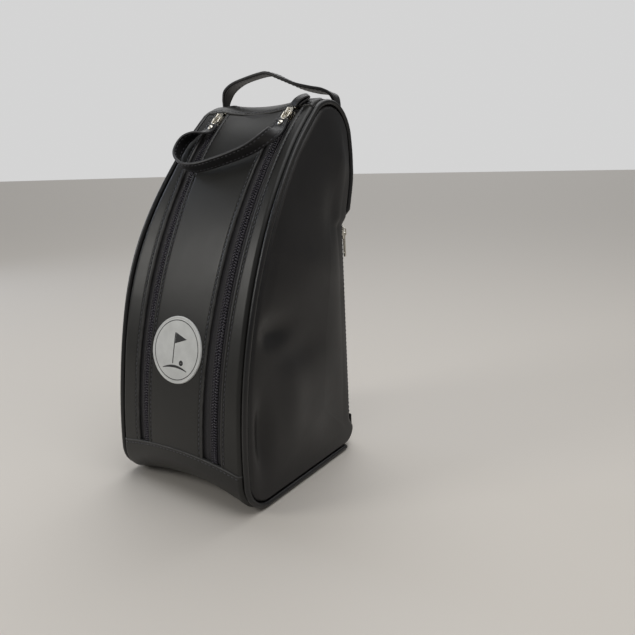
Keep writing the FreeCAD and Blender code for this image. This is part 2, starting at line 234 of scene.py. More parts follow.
def add(tree, kind, inputs=None, **settings):
    """Adds a node with its settings. Inputs take values, or sockets to link."""
    node = tree.nodes.new("ShaderNode" + kind)
    for name, value in settings.items():
        setattr(node, name, value)
    for name, value in (inputs or {}).items():
        if isinstance(value, bpy.types.NodeSocket):
            tree.links.new(value, node.inputs[name])
        else:
            node.inputs[name].default_value = value
    return node


def new_material(name):
    """A material with its shader, ready for nodes."""
    material = bpy.data.materials.new(name)
    material.use_nodes = True
    return material, material.node_tree, material.node_tree.nodes["Principled BSDF"]


def per_mm(size):
    """Texture scale for a feature of this size in millimetres, on coordinates in metres."""
    return 1.0 / (size * MM)


# %% [markdown]
# The outside is coated leather: a split or woven backing under a thin layer of coloured polyurethane that
# is pressed with a very fine grain. The coat reflects like a plastic (IOR about 1.5) with a satin surface.
# The eye sees a soft wide highlight, tiny pebbles about a millimetre apart where the light grazes, faint
# cloudy differences in gloss, and a lighter line along each folded edge. That line is painted into the
# colour:
# partly wear of the stretched coat, partly a painted highlight where the fold catches the light.

# %% Coated leather
def coated_leather(name, dark, light, gloss=0.40, grain=0.9, grain_depth=0.05):
    material, tree, shader = new_material(name)
    where = add(tree, "TexCoord").outputs["Object"]
    cloud = add(tree, "TexNoise", {"Vector": where, "Scale": per_mm(55), "Detail": 4.0, "Roughness": 0.55})
    tone = add(tree, "ValToRGB", {"Fac": cloud.outputs["Fac"]})
    tone.color_ramp.elements[0].position = 0.32
    tone.color_ramp.elements[0].color = linear(dark)
    tone.color_ramp.elements[1].position = 0.70
    tone.color_ramp.elements[1].color = linear(light)
    # The edge attribute lightens the colour along folded edges: partly wear, partly a painted highlight.
    edge_wear_and_highlight = add(tree, "Attribute", attribute_name="edge")
    wear_and_highlight_noise = add(tree, "TexNoise", {"Vector": where, "Scale": per_mm(7), "Detail": 3.0})
    amount = add(tree, "Math", {0: edge_wear_and_highlight.outputs["Fac"], 1: wear_and_highlight_noise.outputs["Fac"]}, operation="MULTIPLY")
    colour = add(tree, "Mix", {"Factor": amount.outputs[0], 6: tone.outputs["Color"], 7: linear("#5a5a5a")},
                 data_type="RGBA")
    tree.links.new(colour.outputs[2], shader.inputs["Base Color"])
    sheen_map = add(tree, "MapRange", {"Value": cloud.outputs["Fac"], "From Min": 0.3, "From Max": 0.7,
                                       "To Min": gloss - 0.04, "To Max": gloss + 0.06})
    tree.links.new(sheen_map.outputs[0], shader.inputs["Roughness"])
    pebble = add(tree, "TexVoronoi", {"Vector": where, "Scale": per_mm(grain)}, feature="SMOOTH_F1")
    pore = add(tree, "TexNoise", {"Vector": where, "Scale": per_mm(grain * 2.6), "Detail": 3.0})
    relief = add(tree, "Math", {0: pebble.outputs["Distance"], 1: 0.7, 2: pore.outputs["Fac"]},
                 operation="MULTIPLY_ADD")
    bump = add(tree, "Bump", {"Height": relief.outputs[0], "Strength": 0.35, "Distance": grain_depth * MM})
    crease = add(tree, "TexNoise", {"Vector": where, "Scale": per_mm(16), "Detail": 2.0, "Distortion": 0.4})
    soft = add(tree, "Bump", {"Height": crease.outputs["Fac"], "Strength": 0.22, "Distance": 0.5 * MM,
                              "Normal": bump.outputs[0]})
    tree.links.new(soft.outputs[0], shader.inputs["Normal"])
    shader.inputs["IOR"].default_value = 1.5
    return material


panel_leather = coated_leather("satin_coated_leather", "#10100e", "#171715")
# The side panels get a darker copy of the same leather: painted shade on the sides of the bag.
side_leather_painted_shade = coated_leather("satin_coated_leather_painted_shade", "#090809", "#100e10", gloss=0.41)
piping_leather = coated_leather("thin_skived_leather", "#121213", "#19191a", gloss=0.34, grain=0.7)
strap_leather = coated_leather("firm_strap_leather", "#101012", "#161619", gloss=0.46, grain=0.7)
handle_leather = coated_leather("handle_strap_leather", "#070709", "#0c0c0f", gloss=0.46, grain=0.7)
print("leathers made")

# %% [markdown]
# The other soft goods: a painted strap edge, bonded polyester thread, woven polyester tape and lining. The
# tape is a herringbone weave with a rib about every 0.8 mm, drawn a little coarser than the real one so
# that it shows. Its pattern follows the tape, so the mesh carries its own coordinates, across and along.

# %% Edge paint, thread and woven cloth
def plain(name, colour, roughness, mottle=6.0, depth=0.05):
    """A surface of one stuff, with a fine mottle in tone and relief."""
    material, tree, shader = new_material(name)
    where = add(tree, "TexCoord").outputs["Object"]
    noise = add(tree, "TexNoise", {"Vector": where, "Scale": per_mm(mottle), "Detail": 4.0})
    low = [c * 0.82 for c in linear(colour)[:3]] + [1.0]
    high = [min(1.0, c * 1.15) for c in linear(colour)[:3]] + [1.0]
    tone = add(tree, "Mix", {"Factor": noise.outputs["Fac"], 6: low, 7: high}, data_type="RGBA")
    tree.links.new(tone.outputs[2], shader.inputs["Base Color"])
    fine = add(tree, "TexNoise", {"Vector": where, "Scale": per_mm(mottle / 8), "Detail": 3.0})
    bump = add(tree, "Bump", {"Height": fine.outputs["Fac"], "Strength": 0.4, "Distance": depth * MM})
    tree.links.new(bump.outputs[0], shader.inputs["Normal"])
    shader.inputs["Roughness"].default_value = roughness
    return material


def woven(name, dark, light, rib):
    """Cloth with a herringbone of ribs, from the mesh's own across and along coordinates."""
    material, tree, shader = new_material(name)
    where = add(tree, "Attribute", attribute_name="weave").outputs["Vector"]
    along = add(tree, "SeparateXYZ", {0: where})
    fold = add(tree, "Math", {0: along.outputs["X"], 1: 2.4 * MM}, operation="PINGPONG")
    slant = add(tree, "Math", {0: fold.outputs[0], 1: along.outputs["Y"]}, operation="ADD")
    ribs = add(tree, "Math", {0: slant.outputs[0], 1: 2 * math.pi * per_mm(rib)}, operation="MULTIPLY")
    wave = add(tree, "Math", {0: ribs.outputs[0]}, operation="SINE")
    height = add(tree, "Math", {0: wave.outputs[0], 1: 0.5, 2: 0.5}, operation="MULTIPLY_ADD")
    tone = add(tree, "Mix", {"Factor": height.outputs[0], 6: linear(dark), 7: linear(light)},
               data_type="RGBA")
    tree.links.new(tone.outputs[2], shader.inputs["Base Color"])
    bump = add(tree, "Bump", {"Height": height.outputs[0], "Strength": 0.6, "Distance": 0.14 * MM})
    tree.links.new(bump.outputs[0], shader.inputs["Normal"])
    shader.inputs["Roughness"].default_value = 0.78
    shader.inputs["Sheen Weight"].default_value = 0.25
    shader.inputs["Sheen Roughness"].default_value = 0.5
    return material


edge_paint = plain("painted_strap_edge", "#3a3a3c", 0.42, depth=0.03)
# Grey rather than black: a painted sheen, for the light that the glossy thread reflects.
thread_black = plain("bonded_polyester_thread", "#46474d", 0.34, mottle=1.2, depth=0.04)
# Greyer than black nylon: a painted highlight, for the glints on the coils and stops.
coil_nylon = plain("black_nylon_coil", "#36333c", 0.24, mottle=1.5, depth=0.01)
tape_cloth = woven("woven_polyester_tape", "#060508", "#17131b", 0.8)
lining_cloth = woven("woven_polyester_lining", "#141416", "#202023", 1.0)
board_stuff = plain("pressed_fibre_board", "#3a3a3a", 0.8, depth=0.08)
print("cloth and thread made")

# %% [markdown]
# The hardware is die-cast zinc with bright nickel plating: a warm white metal that mirrors the room, with
# fine polishing marks. The badge is white coated leather, and its mark is screen print: a thin matt ink.

# %% Metal and badge
def nickel_plate(name):
    material, tree, shader = new_material(name)
    where = add(tree, "TexCoord").outputs["Object"]
    polish = add(tree, "TexNoise", {"Vector": where, "Scale": per_mm(0.5), "Detail": 4.0})
    gloss = add(tree, "MapRange", {"Value": polish.outputs["Fac"], "To Min": 0.14, "To Max": 0.30})
    tree.links.new(gloss.outputs[0], shader.inputs["Roughness"])
    bump = add(tree, "Bump", {"Height": polish.outputs["Fac"], "Strength": 0.12, "Distance": 0.03 * MM})
    tree.links.new(bump.outputs[0], shader.inputs["Normal"])
    shader.inputs["Base Color"].default_value = linear("#d2cec4")
    shader.inputs["Metallic"].default_value = 1.0
    return material


nickel = nickel_plate("nickel_plated_zinc")
badge_white = plain("white_coated_leather", "#d3d5d4", 0.5, mottle=9.0, depth=0.05)
print_ink = plain("matt_screen_ink", "#2a2b2d", 0.6, mottle=2.0, depth=0.01)
print("metal and badge finishes made")

# %% [markdown]
# Every soft panel is the same kind of thing: a sheet with a thickness, turned edges, and pressed lines
# where it is stitched. One builder lays a grid of rows and columns on any surface, closes it with an under
# side and walls, and stores two numbers on each point: how near the folded edge it is, and where it is
# across and along the cloth.

# %% Mesh builders
def finish_piece(name, points, faces, material, body, edge=None, weave=None):
    """Makes a mesh object from points in millimetres, and lets it ride on a body."""
    mesh = bpy.data.meshes.new(name)
    mesh.from_pydata([tuple(p) for p in np.asarray(points) * MM], [], [tuple(f) for f in faces])
    mesh.validate()
    mesh.update()
    for label, values, kind in (("edge", edge, "FLOAT"), ("weave", weave, "FLOAT_VECTOR")):
        if values is not None:
            layer = mesh.attributes.new(label, kind, "POINT")
            field = "value" if kind == "FLOAT" else "vector"
            layer.data.foreach_set(field, np.asarray(values, np.float32).ravel())
    mesh.polygons.foreach_set("use_smooth", [True] * len(mesh.polygons))
    mesh.materials.append(material)
    piece = bpy.data.objects.new(name, mesh)
    bpy.context.scene.collection.objects.link(piece)
    if body:
        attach(piece, body)
    return piece


def grid_faces(rows, columns, first=0, flip=False, closed=False):
    """Quads between the points of a grid."""
    faces = []
    for i in range(rows - 1):
        for j in range(columns if closed else columns - 1):
            k = (j + 1) % columns
            quad = [first + i * columns + j, first + i * columns + k,
                    first + (i + 1) * columns + k, first + (i + 1) * columns + j]
            faces.append(quad[::-1] if flip else quad)
    return faces


def closed_sheet(name, top, under, material, body, edge=None, weave=None):
    """A closed sheet between two grids of points of the same shape."""
    rows, columns, _ = top.shape
    count = rows * columns
    faces = grid_faces(rows, columns) + grid_faces(rows, columns, count, flip=True)
    ring = [j for j in range(columns)] + [i * columns + columns - 1 for i in range(1, rows)]
    ring += [(rows - 1) * columns + j for j in range(columns - 2, -1, -1)]
    ring += [i * columns for i in range(rows - 2, 0, -1)]
    for a, b in zip(ring, ring[1:] + ring[:1]):
        faces.append([b, a, count + a, count + b])
    points = np.concatenate([top.reshape(-1, 3), under.reshape(-1, 3)])
    both = None if edge is None else np.concatenate([edge.ravel(), edge.ravel()])
    cloth = None if weave is None else np.concatenate([weave.reshape(-1, 3)] * 2)
    return finish_piece(name, points, faces, material, body, both, cloth)


def spaced(width, fine_edge=6.0, coarse=3.5):
    """Positions across a panel, close together near both edges where the folds and stitches are."""
    near = np.array([0, 0.15, 0.4, 0.8, 1.3, 1.9, 2.4, 2.8, 3.2, 3.6, 4.1, 4.8, fine_edge])
    if width < 2.6 * fine_edge:
        near = near * width / (2.6 * fine_edge)
    inner = np.linspace(near[-1], width - near[-1], max(3, int((width - 2 * near[-1]) / coarse) + 1))
    return np.concatenate([near[:-1], inner, (width - near[:-1])[::-1]])


def tube(name, centres, first_side, second_side, radii, material, body, count=12, closed=False):
    """A round tube along centres. The two side arrays are the directions of its cross-section."""
    turn = np.linspace(0, 2 * math.pi, count, endpoint=False)
    radii = np.broadcast_to(np.asarray(radii, float), (len(centres),))
    ring = (np.cos(turn)[None, :, None] * first_side[:, None, :] + np.sin(turn)[None, :, None]
            * second_side[:, None, :])
    points = centres[:, None, :] + radii[:, None, None] * ring
    rows = len(centres)
    faces = grid_faces(rows, count, closed=True)
    if closed:
        last = (rows - 1) * count
        faces += [[last + j, last + (j + 1) % count, (j + 1) % count, j] for j in range(count)]
    else:
        faces += [list(range(count))[::-1], [(rows - 1) * count + j for j in range(count)]]
    return finish_piece(name, points.reshape(-1, 3), faces, material, body)


def unit(vectors):
    return vectors / np.linalg.norm(vectors, axis=-1, keepdims=True)


# %% [markdown]
# A stitch is a short piece of thread that dives into the leather at both ends. A row of them is one mesh:
# the same small bent capsule placed again and again along a line, about 4.2 mm apart. The thread is drawn
# thicker than real thread, so that the rows show, and greyer than real black thread: the grey is a painted
# sheen, for the light that glossy thread reflects.

# %% Stitches
STITCH_PITCH = 4.2
STITCH_LENGTH = 3.0
THREAD = 1.0


def stitch_row(name, line, out, body, lift=0.12):
    """Stitches along a line of points, with the outward direction at each."""
    line, out = np.asarray(line, float), np.asarray(out, float)
    run = np.concatenate([[0], np.cumsum(np.linalg.norm(np.diff(line, axis=0), axis=1))])
    count = int(run[-1] / STITCH_PITCH)
    centres = (np.arange(count) + 0.5) * run[-1] / count
    around = np.linspace(0, 2 * math.pi, 6, endpoint=False)
    stations = np.array([-1.0, -0.72, -0.3, 0.3, 0.72, 1.0])
    thick = np.array([0.25, 0.8, 1.0, 1.0, 0.8, 0.25])
    dive = np.array([-0.55, -0.12, 0.06, 0.06, -0.12, -0.55])
    points, faces = [], []
    for centre in centres:
        at = centre + stations * STITCH_LENGTH / 2
        spine = np.stack([np.interp(at, run, line[:, k]) for k in range(3)], 1)
        up = unit(np.stack([np.interp(at, run, out[:, k]) for k in range(3)], 1))
        along = unit(np.gradient(spine, axis=0))
        side = unit(np.cross(along, up))
        spine = spine + up * (dive + lift)[:, None]
        rings = spine[:, None] + (THREAD / 2) * thick[:, None, None] * (
            np.cos(around)[None, :, None] * side[:, None] + np.sin(around)[None, :, None] * 0.8 * up[:, None])
        first = len(points) * 36
        faces += grid_faces(6, 6, first, closed=True)
        faces += [[first + j for j in range(5, -1, -1)], [first + 30 + j for j in range(6)]]
        points.append(rings.reshape(-1, 3))
    return finish_piece(name, np.concatenate(points), faces, thread_black, body)


def gusset_row(name, x, s, height):
    """A row of stitches on the band, at places x and s."""
    x, s = np.broadcast_arrays(np.asarray(x, float), np.asarray(s, float))
    line = on_gusset(x, s, height)
    out = unit(on_gusset(x, s, height + 1.0) - line)
    return stitch_row(name, line, out, "shell")


# %% [markdown]
# The front is three panels with a zip between each pair. The centre panel and the two strips are cut with
# a seam allowance that is turned under and topstitched 3.4 mm from the fold, through the zip tape. The
# outer edges of the strips turn down into the seam that holds the piping, which leaves a dark groove.

# %% Sizes of the front
ZIP_X = 42.0
CENTER_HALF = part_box("front_center_panel")[1].x / MM
STRIP_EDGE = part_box("front_strip_right")[0].x / MM + 2.0
STITCH_IN = 3.4
PANEL_SKIN = 1.5
SEAM_MARGIN = 5.5
S_BASE_SEAM = 4.5
S_RIDGE = front_s(45.9)
S_HEM = front_s(47.6)
front_rows = np.linspace(S_BASE_SEAM - 4, S_RIDGE + 2, 290)
print("centre panel is", round(2 * CENTER_HALF), "mm wide and", round(S_RIDGE - S_BASE_SEAM), "mm long")


def wander(x, s, seed, size):
    """A slow, even unevenness of the leather, as a sum of a few long waves."""
    total = 0
    for k in range(1, 5):
        total = total + np.sin(x * 0.021 * k + s * 0.017 * k * (1 + 0.3 * seed) + seed * 1.7 * k) / k
    return size * total / 2


# %% [markdown]
# Each front panel is one long sheet. Its two sides are either folded and topstitched, beside a zip, or
# turned down into the piped seam. The stitches are laid afterwards, in the groove that each row presses.

# %% Front panels
def front_panel(name, left, right, stitched_left, stitched_right, node, seed):
    """A front panel between two x edges, which are functions of s."""
    s = front_rows[:, None]
    low, high = left(front_rows)[:, None], right(front_rows)[:, None]
    share = spaced(float(np.mean(high - low)))
    share = (share / share[-1])[None, :]
    x = low + (high - low) * share
    from_left, from_right = x - low, high - x
    height = wander(x, s, seed, 0.25)
    edge = np.zeros_like(x)
    for distance, stitched in ((from_left, stitched_left), (from_right, stitched_right)):
        if stitched:
            height = height - 1.3 * rolled(distance, 1.0) - 0.55 * groove(distance, STITCH_IN, 0.8)
            height = height + 0.35 * groove(distance, 1.6, 1.1)
            height = height - 0.05 * np.cos(2 * math.pi * s / STITCH_PITCH) * groove(distance, STITCH_IN, 1.2)
            edge = np.maximum(edge, np.exp(-((distance - 0.4) / 0.7) ** 2))
        else:
            height = height - 4.2 * rolled(distance, 4.2)
    top = on_gusset(x, s, height)
    under = on_gusset(x, s, np.minimum(height - 0.4, -PANEL_SKIN))
    piece = closed_sheet(name, top, under, panel_leather, "shell", edge)
    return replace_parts(piece, node)


def center_edge(s):
    """x of the centre panel's right edge: it leaves more of the right tape bare, most of all lower down."""
    return CENTER_HALF - 4.0 - 4.0 * ease(1 - s / 300)


front_panel("front_center_panel_skin", lambda s: 0 * s - CENTER_HALF, center_edge, True, True,
            "front_center_panel", 1)
front_panel("front_strip_right_skin", lambda s: 0 * s + STRIP_EDGE, lambda s: side_edge(s, SEAM_MARGIN),
            True, False, "front_strip_right", 2)
front_panel("front_strip_left_skin", lambda s: -side_edge(s, SEAM_MARGIN), lambda s: 0 * s - STRIP_EDGE,
            False, True, "front_strip_left", 3)
stitched = np.linspace(S_BASE_SEAM + 2.5, S_RIDGE - 1.5, 260)
for word, sign in (("left", -1), ("right", 1)):
    column = center_edge(stitched) if sign > 0 else CENTER_HALF + 0 * stitched
    gusset_row("stitches_center_" + word, sign * (column - STITCH_IN), stitched, -0.30)
    gusset_row("stitches_strip_" + word, sign * (STRIP_EDGE + STITCH_IN), stitched, -0.30)
print("front panels made")

# %% [markdown]
# The base is one piece: it covers the bottom and turns up at the front as a band, whose folded top edge
# lies over the ends of the panels and zips and is topstitched through them. At the back it meets the back
# panel in the same way. Where it rests on the floor it stays flat.

# %% Base panel
def base_panel():
    s_back = back_s(30.0)
    total = S_END - S_START
    front_part = np.concatenate([S_BASE_SEAM - np.array([0, 0.2, 0.5, 0.9, 1.4, 2.0, 2.6, 3.1, 3.6, 4.2, 5]),
                                 np.linspace(S_BASE_SEAM - 7, S_START, 110)])
    back_part = np.linspace(S_END, s_back, 34)
    rows = np.concatenate([front_part, back_part[1:]])
    s = rows[:, None]
    high = side_edge(rows, SEAM_MARGIN)[:, None]
    share = spaced(150.0, coarse=3.0)
    x = -high + 2 * high * (share / share[-1])[None, :]
    distance = high - np.abs(x)
    on_front = ease((s - S_TOE_FLAT) / 30) * (s < S_BASE_SEAM + 1)
    from_top = np.where(s <= S_BASE_SEAM, S_BASE_SEAM - s, 40)
    height = 0.9 * on_front * ease((S_BASE_SEAM + 0.1 - s) / 0.7 + 0.2)
    height = height - 1.0 * rolled(from_top, 0.9) - 0.34 * groove(from_top, STITCH_IN)
    height = height - 4.2 * rolled(distance, 4.2) + on_front * wander(x, s, 4, 0.2)
    edge = np.exp(-((from_top - 0.4) / 0.7) ** 2) * np.ones_like(x)
    top = on_gusset(x, s, height)
    top[..., 2] = np.maximum(top[..., 2], 0.05)
    under = on_gusset(x, s, np.minimum(height - 0.4, -1.6))
    piece = closed_sheet("base_panel_skin", top[::-1], under[::-1], panel_leather, "shell",
                         edge[::-1])
    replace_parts(piece, "base_panel")
    width = np.linspace(-1, 1, 120)
    place = S_BASE_SEAM - STITCH_IN + 0 * width
    gusset_row("stitches_base_band", width * (side_edge(place, SEAM_MARGIN) - 3), place, 0.62)


base_panel()

# %% [markdown]
# Over the ridge a folded hem crosses the whole band and hides the ends of the zips. Behind it the back
# panel goes over the crown and straight down. On the right its lower edge is cut back for the pocket zip.

# %% Hem and back panel
ZIP_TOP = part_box("back_zip_tape")[1].z / MM
ZIP_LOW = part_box("back_zip_tape")[0].z / MM
SIDE_CUT = 7.0
BACK_CUT = 5.2


def zip_notch(z):
    """1 along the pocket zip and 0 above and below it."""
    return ease((ZIP_TOP + 6 - z) / 9) * ease((z - ZIP_LOW + 14) / 14)


def hem():
    rows = np.concatenate([S_RIDGE - 4 + np.array([0, 0.2, 0.5, 0.9, 1.5, 2.2, 3, 3.8, 4.5]),
                           np.linspace(S_RIDGE + 1.5, S_HEM + 2, 10)])
    s = rows[:, None]
    high = side_edge(rows, SEAM_MARGIN)[:, None]
    share = spaced(126.0, coarse=2.5)
    x = -high + 2 * high * (share / share[-1])[None, :]
    distance = high - np.abs(x)
    from_fold = s - rows[0]
    over_zip = np.exp(-((np.abs(x) - ZIP_X) / 7) ** 2)
    height = 1.2 + 0.5 * over_zip - 1.1 * rolled(from_fold, 1.0) - 0.3 * groove(from_fold, 3.0)
    height = height - 3.0 * rolled(distance, 3.5) - 0.9 * ease((s - S_HEM) / 2.5)
    edge = 0.6 * np.exp(-((from_fold - 0.4) / 0.7) ** 2) * np.ones_like(x)
    top = on_gusset(x, s, height)
    under = on_gusset(x, s, -PANEL_SKIN + 0 * height)
    piece = closed_sheet("ridge_hem_fold", top, under, panel_leather, "shell", edge)
    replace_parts(piece, "ridge_hem")
    width = np.linspace(-1, 1, 100)
    place = rows[0] + 3.0 + 0 * width
    gusset_row("stitches_ridge_hem", width * (side_edge(place, SEAM_MARGIN) - 3.5), place, 1.05)


def back_panel():
    over_crown = np.linspace(S_HEM - 1, back_s(260), 90)
    rows = np.concatenate([over_crown, np.linspace(back_s(259), back_s(27), 120)])
    s = rows[:, None]
    place, _ = outline_at(rows)
    left = -side_edge(rows, SEAM_MARGIN)[:, None]
    cut = BACK_CUT * zip_notch(place[:, 1]) * (place[:, 0] > back_y - 5)
    right = (side_edge(rows, SEAM_MARGIN) - cut)[:, None]
    share = spaced(130.0, coarse=3.0)
    x = left + (right - left) * (share / share[-1])[None, :]
    notch = zip_notch(place[:, 1])[:, None]
    fullness = ease((x - left) / 45) * ease((right - x) / 45) * ease((s - S_HEM - 40) / 60)
    height = wander(x, s, 6, 0.5) + 2.2 * fullness
    height = height - 2.6 * rolled(x - left, 3.0) - 2.6 * rolled(right - x, 3.0) * (1 - notch)
    height = height - notch * (1.2 * rolled(right - x, 1.0) + 0.3 * groove(right - x, STITCH_IN))
    height = height - 0.8 * ease((S_HEM + 2.5 - s) / 3)
    height = height - 1.2 * ease((s - back_s(32)) / 5)
    top = on_gusset(x, s, height)
    under = on_gusset(x, s, np.minimum(height - 0.4, -PANEL_SKIN))
    piece = closed_sheet("back_panel_skin", top, under, panel_leather, "shell")
    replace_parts(piece, "back_panel")
    s_row = np.linspace(back_s(ZIP_TOP - 3), back_s(ZIP_LOW + 4), 160)
    column = side_edge(s_row, SEAM_MARGIN) - BACK_CUT - STITCH_IN
    gusset_row("stitches_back_zip_edge", column, s_row, -0.2)


hem()
back_panel()
print("hem and back made")

# %% [markdown]
# The side panels are big, flat D shapes. Nothing stiffens them, so they belly outwards a little and carry
# a few long soft dents where the leather relaxed after sewing. The mesh is rings: the outer ones follow
# the outline at even steps inwards, so that the turned edge is crisp, and the inner ones shrink to a line
# in the middle. The right panel's back edge is a straight fold along the pocket zip.

# %% Side panels
SIDE_INSET = 5.6
# Each dent is its y and z, its reach along y and along z, and its depth. A negative depth is a bulge.
DENTS = {
    1: [(-66, 66, 9, 28, 6.6), (-40, 152, 24, 12, 6.0), (-8, 130, 34, 18, 3.4), (-24, 86, 20, 34, -3.0),
        (6, 192, 44, 26, -2.4), (40, 60, 26, 40, 2.2), (66, 286, 16, 22, -1.6), (52, 246, 12, 26, 2.2)],
    -1: [(-40, 190, 34, 60, -2.5), (-20, 70, 40, 34, 1.6), (40, 120, 38, 60, -1.0), (20, 250, 30, 40, 0.8)],
}
BELLY = {1: 5.2, -1: 7.5}
PUFF = {1: 0.0, -1: 8.0}


def side_outline(side, inset, count=420):
    """The closed outline of a side panel, moved inwards. Gives y and z in the side's own plane."""
    s = np.linspace(S_START, S_END, count, endpoint=False)
    place, out = outline_at(s)
    y = place[:, 0] - inset * out[:, 0]
    z = place[:, 1] - inset * out[:, 1]
    if side > 0:
        y = y - SIDE_CUT * zip_notch(z) * ease((y - 20) / 60)
    return y, z


def side_panel(side, word):
    steps = np.array([0, 0.25, 0.7, 1.3, 2.0, 2.8, 3.5, 4.2, 5.0, 6.5, 8.5, 11, 14])
    rings = [np.stack(side_outline(side, SIDE_INSET + step), -1) for step in steps]
    inner = rings[-1]
    spine_z = np.clip(inner[:, 1], 60, 250)
    spine_y = 26 + 22 * ease((spine_z - 60) / 190)
    spine = np.stack([spine_y, spine_z], -1)
    shares = np.linspace(0, 1, 46)[1:]
    rings += [inner * (1 - share) + spine * share for share in shares]
    flat = np.stack(rings)
    depth = np.concatenate([steps, 14 + shares * 55])[:, None]
    y, z = flat[..., 0], flat[..., 1]
    out = -0.9 - 3.6 * rolled(depth, 4.2)
    full = ease((z - 4) / 70) * (0.75 + 0.25 * ease((300 - z) / 200))
    out = out + BELLY[side] * (1 - np.exp(-depth / 26)) * full
    puff = PUFF[side] * np.exp(-((depth - 12) / 8.5) ** 2) * np.exp(-((z - 205) / 70) ** 2) * (y < 25)
    out = out + puff
    for dy, dz, ry, rz, deep in DENTS[side]:
        out = out - deep * np.exp(-((y - dy) / ry) ** 2 - ((z - dz) / rz) ** 2) * ease(depth / 16)
    out = out + wander(y, z, 7 + side, 0.35) * ease(depth / 10)
    if side > 0:
        beside_zip = zip_notch(z) * (y > 40)
        out = out - 0.35 * groove(depth, STITCH_IN) * beside_zip
    top = on_side(side, out, y, z)
    under = on_side(side, np.minimum(out - 0.4, -2.6), y, z)
    rows, columns = y.shape
    count = rows * columns
    order = side > 0
    faces = grid_faces(rows, columns, flip=order, closed=True)
    faces += grid_faces(rows, columns, count, flip=not order, closed=True)
    for j in range(columns):
        k = (j + 1) % columns
        wall = [j, k, count + k, count + j]
        faces.append(wall if order else wall[::-1])
    points = np.concatenate([top.reshape(-1, 3), under.reshape(-1, 3)])
    # A lighter line along the turned edge: partly wear, partly a painted highlight where the fold catches
    # light.
    edge_wear_and_highlight = 0.5 * np.exp(-((depth - 0.5) / 0.9) ** 2) * np.ones_like(y)
    piece = finish_piece("side_panel_" + word + "_skin", points, faces, side_leather_painted_shade, "shell",
                         np.concatenate([edge_wear_and_highlight.ravel()] * 2))
    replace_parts(piece, "side_panel_" + word)
    clean = piece.modifiers.new("join_spine", "WELD")
    clean.merge_threshold = 0.02 * MM
    return piece


for word, sign in (("left", -1), ("right", 1)):
    side_panel(sign, word)
row_z = np.linspace(ZIP_TOP - 2, ZIP_LOW + 6, 150)
row_y = back_y - SIDE_INSET - SIDE_CUT - STITCH_IN + 0 * row_z
row = on_side(1, -0.55 + 0 * row_z, row_y, row_z)
stitch_row("stitches_side_zip_edge", row, unit(on_side(1, 0.5 + 0 * row_z, row_y, row_z) - row), "shell")
print("side panels made")

# %% [markdown]
# Piping is a cord in a strip of thin leather, sewn into the seam so that only a round bead shows. It is
# modelled as a tube with a slightly uneven radius, because the leather strip gathers as it goes round.

# %% Piping
PIPING_INSET = 2.8
PIPING_RADIUS = 2.5


def piping(side, word):
    closed = side < 0
    if closed:
        s = np.linspace(S_START, S_END, 520, endpoint=False)
    else:
        s = np.linspace(S_START, back_s(ZIP_TOP + 4), 460)
    place, out = outline_at(s)
    y = place[:, 0] - PIPING_INSET * out[:, 0]
    z = place[:, 1] - PIPING_INSET * out[:, 1]
    depth = -PIPING_RADIUS + 0 * s
    radius = PIPING_RADIUS * (0.985 + 0.015 * np.sin(s * 0.9) * np.sin(s * 0.23))
    if not closed:
        tail = ease((s[-1] - s) / 9)
        radius = radius * (0.35 + 0.65 * tail)
        depth = depth - 2.2 * (1 - tail)
        y = y - 2.0 * (1 - tail)
    centres = on_side(side, depth, y, z)
    first = np.stack([0 * s, out[:, 0], out[:, 1]], -1)
    second = np.tile([side * 1.0, 0, 0], (len(s), 1))
    if side < 0:
        first, second = second, first
    piece = tube("piping_" + word + "_bead", centres, first, second, radius, piping_leather, "shell",
                 16, closed)
    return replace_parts(piece, "piping_" + word)


piping(-1, "left")
piping(1, "right")
print("piping made,", 2 * PIPING_RADIUS, "mm thick")

# %% [markdown]
# A coil zip is two nylon spirals, each sewn to the edge of a woven tape, that lock into each other when
# the slider passes. Each spiral is drawn as a spiral of wire, flattened, with its loops reaching just past
# the middle, and the second one is shifted by half a loop so that the two interlock. The loops are drawn
# coarser than on a real zip of this width, so that the beads show from a distance, and the nylon greyer
# than real black nylon: the grey is a painted highlight, for the glints on the glossy loops.
# A moulded stop closes the lower end, under the folded edge of the base.

# %% Zips
COIL_PITCH = 2.5
COIL_WIRE = 0.6


def coil(name, place, length, sign):
    """One spiral. place(x, s, h) gives points; sign is which side of the middle it is on."""
    per_turn = 9
    turns = int(length / COIL_PITCH)
    phase = np.arange(turns * per_turn + 1) / per_turn
    turn = 2 * math.pi * phase
    x = sign * (1.75 + 1.65 * np.cos(turn))
    h = 1.05 + 0.70 * np.sin(turn)
    s = (phase + (0.5 if sign > 0 else 0.0)) * COIL_PITCH
    s = np.clip(s, 0, length)
    line = place(x, s, h)
    along = unit(np.gradient(line, axis=0))
    up = unit(place(x, s, h + 1) - line)
    side = unit(np.cross(along, up))
    up = np.cross(side, along)
    return tube(name, line, side, up, COIL_WIRE, coil_nylon, "shell", 5)


def tape(name, place, low, high, length, node_list):
    """Woven tape between two x values, thin under the coil and with a raised cord of weft beside it."""
    x = np.linspace(low, high, 61)[None, :]
    s = np.linspace(0, length, max(40, int(length / 3)))[:, None]
    h = 0.35 * np.exp(-((np.abs(x) - 4.6) / 0.55) ** 2) - 0.5 * np.exp(-(x / 3.3) ** 6) + 0 * s
    top = place(x, s, h)
    under = place(x, s, -0.7 + 0 * h)
    weave = np.stack(np.broadcast_arrays(x * MM, s * MM, 0 * x), -1)
    piece = closed_sheet(name, top, under, tape_cloth, "shell", weave=weave)
    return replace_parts(piece, *node_list)


TAPE_DEPTH = 3.0
CHAIN_START = front_s(0.2)
CHAIN_LENGTH = front_s(43.35) - CHAIN_START
TAPE_START = front_s(-0.4)


